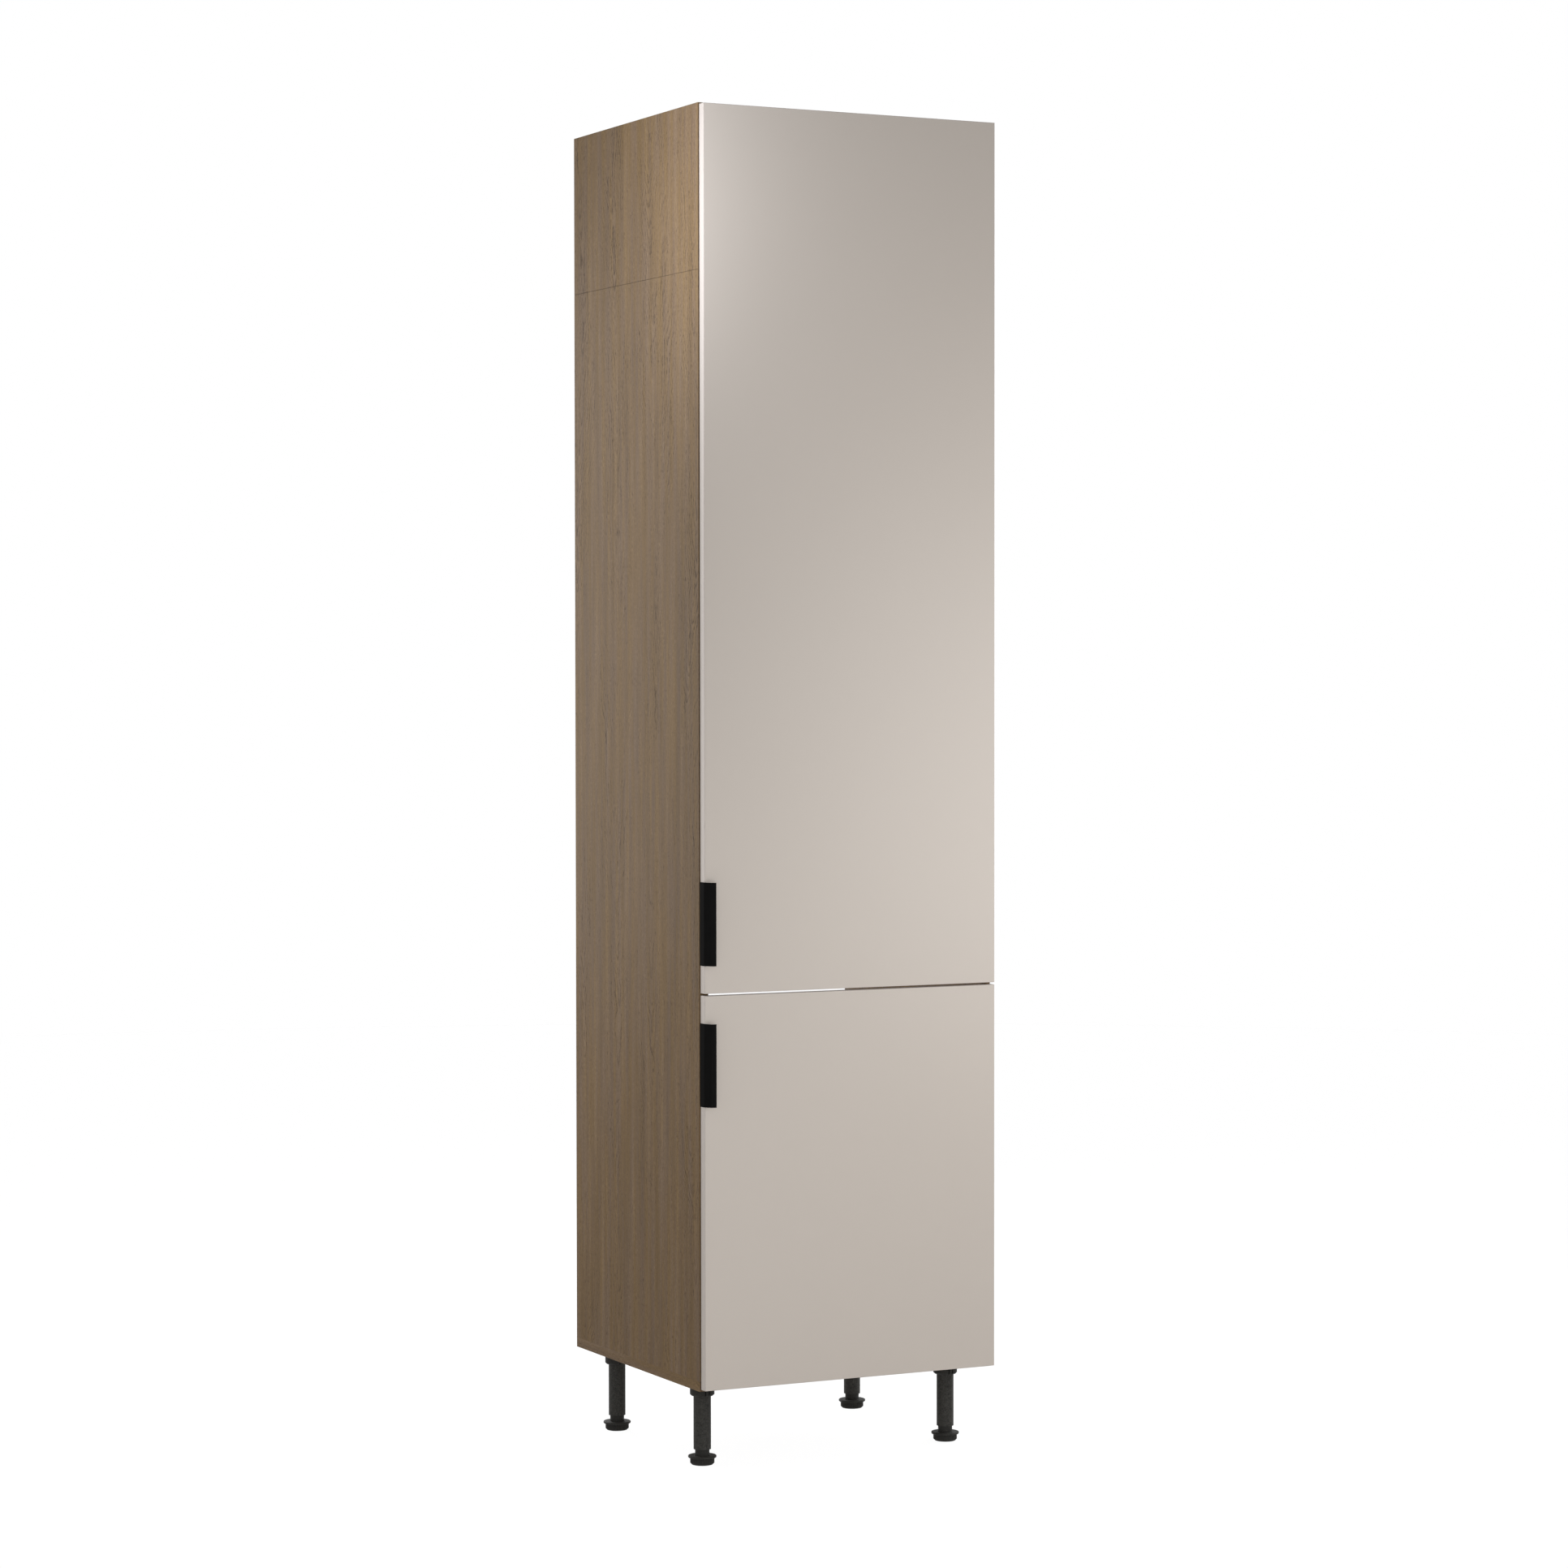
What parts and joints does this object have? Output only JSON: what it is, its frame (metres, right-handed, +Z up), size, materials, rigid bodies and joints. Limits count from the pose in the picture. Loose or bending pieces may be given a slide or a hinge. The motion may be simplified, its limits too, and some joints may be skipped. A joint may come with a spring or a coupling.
{
  "type": "fridge housing cabinet",
  "caption": "Tall fridge housing cabinet on adjustable plinth legs: wood-effect carcase, matt slab doors on concealed hinges, black edge pulls, an appliance niche and a shelved top space.",
  "frame": {"origin": "on the floor, midway across the width and midway across the overall depth, handles included", "axes": "+Z up, +Y towards the wall, +X to the right seen from the front"},
  "size_m": [0.6, 0.5845, 2.465],
  "materials": {
    "oak_effect_board": "brown oak-effect melamine laminate, fine vertical grain, matt",
    "oak_effect_band": "oak-effect edge band, matt",
    "greige_front": "greige lacquer-look laminate on board, smooth matt",
    "greige_edging": "greige edge band, smooth matt",
    "black_pull": "black anodised, fine satin",
    "black_screw": "black passivated steel",
    "black_leg_plastic": "moulded plastic, fine texture",
    "nickel_hinge": "nickel plated pressed steel, satin",
    "steel_pin": "bright steel",
    "zinc_fixing": "zinc plated steel",
    "zinc_cam": "bare zinc alloy casting",
    "beech_dowel": "plain beech",
    "clear_bumper": "soft translucent polyurethane"
  },
  "bodies": {
    "root": {"side_left_lower": "oak_effect_board", "side_left_upper": "oak_effect_board", "side_right_lower": "oak_effect_board", "side_right_upper": "oak_effect_board", "bottom_panel": "oak_effect_board", "appliance_shelf": "oak_effect_board", "top_panel": "oak_effect_board", "top_back_panel": "oak_effect_board", "adjustable_shelf": "oak_effect_board", "shelf_pins": "zinc_fixing", "wall_rail_lower": "oak_effect_board", "wall_rail_upper": "oak_effect_board", "side_edge_bands": "oak_effect_band", "board_edge_bands": "oak_effect_band", "seam_plates": "zinc_fixing", "seam_plate_screws": "zinc_fixing", "seam_dowels": "beech_dowel", "corner_dowels": "beech_dowel", "cam_discs": "zinc_cam", "cam_bolts": "zinc_fixing", "leg_socket_front_left": "black_leg_plastic", "leg_socket_front_right": "black_leg_plastic", "leg_socket_back_left": "black_leg_plastic", "leg_socket_back_right": "black_leg_plastic", "leg_barrel_front_left": "black_leg_plastic", "leg_barrel_front_right": "black_leg_plastic", "leg_barrel_back_left": "black_leg_plastic", "leg_barrel_back_right": "black_leg_plastic", "upper_hinge_plates": "nickel_hinge", "lower_hinge_plates": "nickel_hinge", "hinge_plate_screws": "zinc_fixing", "upper_hinge_arms": "nickel_hinge", "lower_hinge_arms": "nickel_hinge", "hinge_arm_pins": "steel_pin", "hinge_arm_screws": "zinc_fixing"},
    "upper_outer_links": {"upper_outer_links": "nickel_hinge"},
    "upper_inner_links": {"upper_inner_links": "nickel_hinge"},
    "upper_door": {"upper_door": "greige_front", "upper_door_edging": "greige_edging", "upper_handle": "black_pull", "upper_handle_screws": "black_screw", "upper_door_bumpers": "clear_bumper", "upper_hinge_cups": "nickel_hinge", "upper_cup_pins": "steel_pin", "upper_cup_screws": "zinc_fixing"},
    "lower_outer_links": {"lower_outer_links": "nickel_hinge"},
    "lower_inner_links": {"lower_inner_links": "nickel_hinge"},
    "lower_door": {"lower_door": "greige_front", "lower_door_edging": "greige_edging", "lower_handle": "black_pull", "lower_handle_screws": "black_screw", "lower_door_bumpers": "clear_bumper", "lower_hinge_cups": "nickel_hinge", "lower_cup_pins": "steel_pin", "lower_cup_screws": "zinc_fixing"},
    "foot_front_left": {"foot_front_left": "black_leg_plastic"},
    "foot_front_right": {"foot_front_right": "black_leg_plastic"},
    "foot_back_left": {"foot_back_left": "black_leg_plastic"},
    "foot_back_right": {"foot_back_right": "black_leg_plastic"}
  },
  "joints": [
    {"name": "upper_outer_link_swing", "type": "hinge", "parent": "root", "child": "upper_outer_links", "pos_m": [0.2649, -0.23825, 1.666], "axis": [0, 0, 1], "range_deg": [-30.12, 0]},
    {"name": "upper_door_swing", "type": "hinge", "parent": "upper_outer_links", "child": "upper_door", "pos_m": [0.2887, -0.2611, 1.666], "axis": [0, 0, 1], "range_deg": [0, 125.11]},
    {"name": "upper_inner_link_swing", "type": "hinge", "parent": "root", "child": "upper_inner_links", "pos_m": [0.2545, -0.2547, 1.666], "axis": [0, 0, 1], "range_deg": [-23.47, 0]},
    {"name": "lower_outer_link_swing", "type": "hinge", "parent": "root", "child": "lower_outer_links", "pos_m": [0.2649, -0.23825, 0.51], "axis": [0, 0, 1], "range_deg": [-30.12, 0]},
    {"name": "lower_door_swing", "type": "hinge", "parent": "lower_outer_links", "child": "lower_door", "pos_m": [0.2887, -0.2611, 0.51], "axis": [0, 0, 1], "range_deg": [0, 125.11]},
    {"name": "lower_inner_link_swing", "type": "hinge", "parent": "root", "child": "lower_inner_links", "pos_m": [0.2545, -0.2547, 0.51], "axis": [0, 0, 1], "range_deg": [-23.47, 0]},
    {"name": "foot_front_left_adjust", "type": "slide", "parent": "root", "child": "foot_front_left", "axis": [0, 0, -1], "range_m": [-0.01, 0.02]},
    {"name": "foot_front_right_adjust", "type": "slide", "parent": "root", "child": "foot_front_right", "axis": [0, 0, -1], "range_m": [-0.01, 0.02]},
    {"name": "foot_back_left_adjust", "type": "slide", "parent": "root", "child": "foot_back_left", "axis": [0, 0, -1], "range_m": [-0.01, 0.02]},
    {"name": "foot_back_right_adjust", "type": "slide", "parent": "root", "child": "foot_back_right", "axis": [0, 0, -1], "range_m": [-0.01, 0.02]}
  ],
  "couplings": [
    {"joint": "upper_outer_link_swing", "follows": "upper_door_swing", "ratio": -0.2407},
    {"joint": "upper_inner_link_swing", "follows": "upper_door_swing", "ratio": -0.18755},
    {"joint": "lower_outer_link_swing", "follows": "lower_door_swing", "ratio": -0.2407},
    {"joint": "lower_inner_link_swing", "follows": "lower_door_swing", "ratio": -0.18755}
  ]
}
